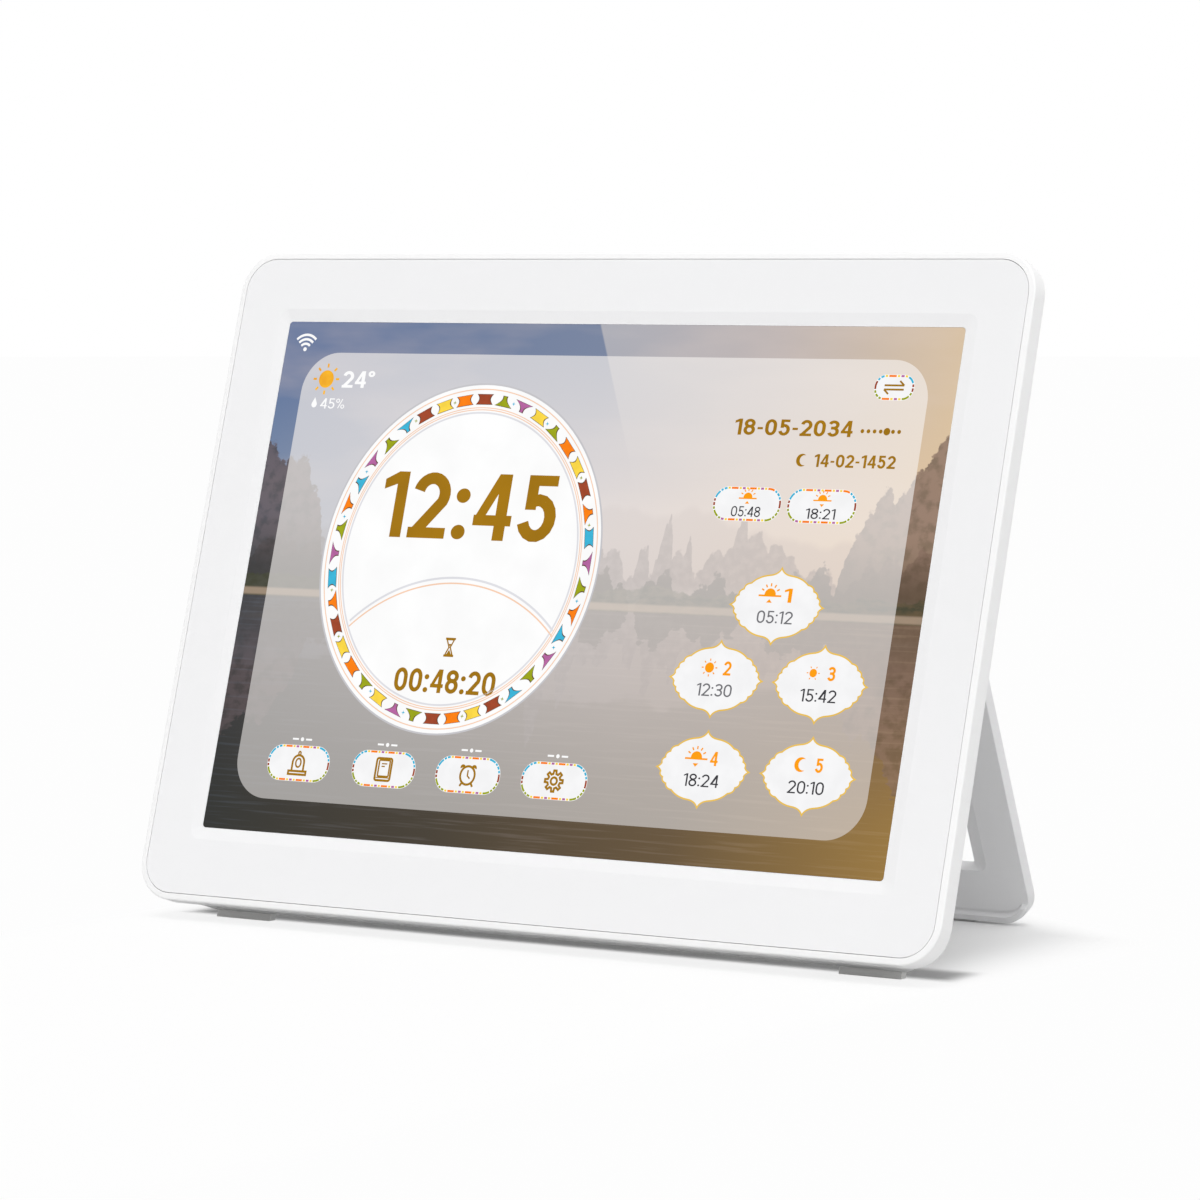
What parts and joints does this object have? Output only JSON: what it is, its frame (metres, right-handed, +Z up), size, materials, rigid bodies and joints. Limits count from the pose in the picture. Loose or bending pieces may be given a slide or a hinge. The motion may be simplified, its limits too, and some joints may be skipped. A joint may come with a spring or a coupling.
{
  "type": "prayer time table clock",
  "caption": "White display clock leaning back on a windowed plate stand that folds flat into the rear cover.",
  "frame": {"origin": "on the table, under the middle of the whole clock with its stand open", "axes": "+X to the viewer's right, +Y to the back, +Z up; the screen looks towards -Y and leans back"},
  "size_m": [0.2508, 0.1222, 0.1807],
  "materials": {
    "rim_white": "satin",
    "front_white": "fine matt",
    "cover_white": "fine spark grain",
    "stand_white": "fine matt",
    "lens_glass": "polished",
    "panel_black": "polished",
    "guide_clear": "polished",
    "steel": "plated",
    "board_green": "solder mask",
    "black_plastic": "moulded",
    "foil": "foil",
    "rubber_grey": "matt",
    "ribbon_amber": "film",
    "cloth_black": "woven",
    "lead_red": "matt",
    "screw_steel": "plated"
  },
  "bodies": {
    "case": {"backlight_tray": "steel", "battery_lead": "lead_red", "battery_pack": "foil", "board_screw_1": "screw_steel", "board_screw_2": "screw_steel", "board_screw_3": "screw_steel", "board_screw_4": "screw_steel", "button_board": "board_green", "button_lead": "lead_red", "case_foot_left": "rubber_grey", "case_foot_right": "rubber_grey", "cover_screw_1": "screw_steel", "cover_screw_2": "screw_steel", "cover_screw_3": "screw_steel", "cover_screw_4": "screw_steel", "cover_screw_5": "screw_steel", "cover_screw_6": "screw_steel", "display_ribbon": "ribbon_amber", "front_plate": "front_white", "hinge_bracket_left": "steel", "hinge_bracket_right": "steel", "hinge_screw_1": "screw_steel", "hinge_screw_2": "screw_steel", "hinge_screw_3": "screw_steel", "hinge_screw_4": "screw_steel", "lcd_panel": "panel_black", "light_guide": "guide_clear", "main_board": "board_green", "outer_frame": "rim_white", "processor_shield": "foil", "rear_cover": "cover_white", "screen_lens": "lens_glass", "speaker_cloth_left": "cloth_black", "speaker_cloth_right": "cloth_black", "speaker_lead_left": "lead_red", "speaker_lead_right": "lead_red", "speaker_left": "black_plastic", "speaker_right": "black_plastic", "usb_socket": "steel", "wifi_aerial": "board_green"},
    "stand": {"stand_plate": "stand_white", "stand_foot_strip": "rubber_grey", "hinge_pin_left": "steel", "hinge_pin_right": "steel", "friction_washer_left_outer": "steel", "friction_washer_left_inner": "steel", "friction_washer_right_outer": "steel", "friction_washer_right_inner": "steel"},
    "power_button": {"power_button": "cover_white"},
    "volume_down_button": {"volume_down_button": "cover_white"},
    "volume_up_button": {"volume_up_button": "cover_white"}
  },
  "joints": [
    {"name": "stand_hinge", "type": "hinge", "parent": "case", "child": "stand", "pos_m": [0, -0.00385, 0.14612], "axis": [-1, 0, 0], "range_deg": [0, 39.9]},
    {"name": "power_button_press", "type": "slide", "parent": "case", "child": "power_button", "axis": [0, -0.284, -0.9588], "range_m": [0, 0.0005], "stiffness_N_per_m": 1500, "springref_m": -0.0004},
    {"name": "volume_down_button_press", "type": "slide", "parent": "case", "child": "volume_down_button", "axis": [0, -0.284, -0.9588], "range_m": [0, 0.0005], "stiffness_N_per_m": 1500, "springref_m": -0.0004},
    {"name": "volume_up_button_press", "type": "slide", "parent": "case", "child": "volume_up_button", "axis": [0, -0.284, -0.9588], "range_m": [0, 0.0005], "stiffness_N_per_m": 1500, "springref_m": -0.0004}
  ]
}
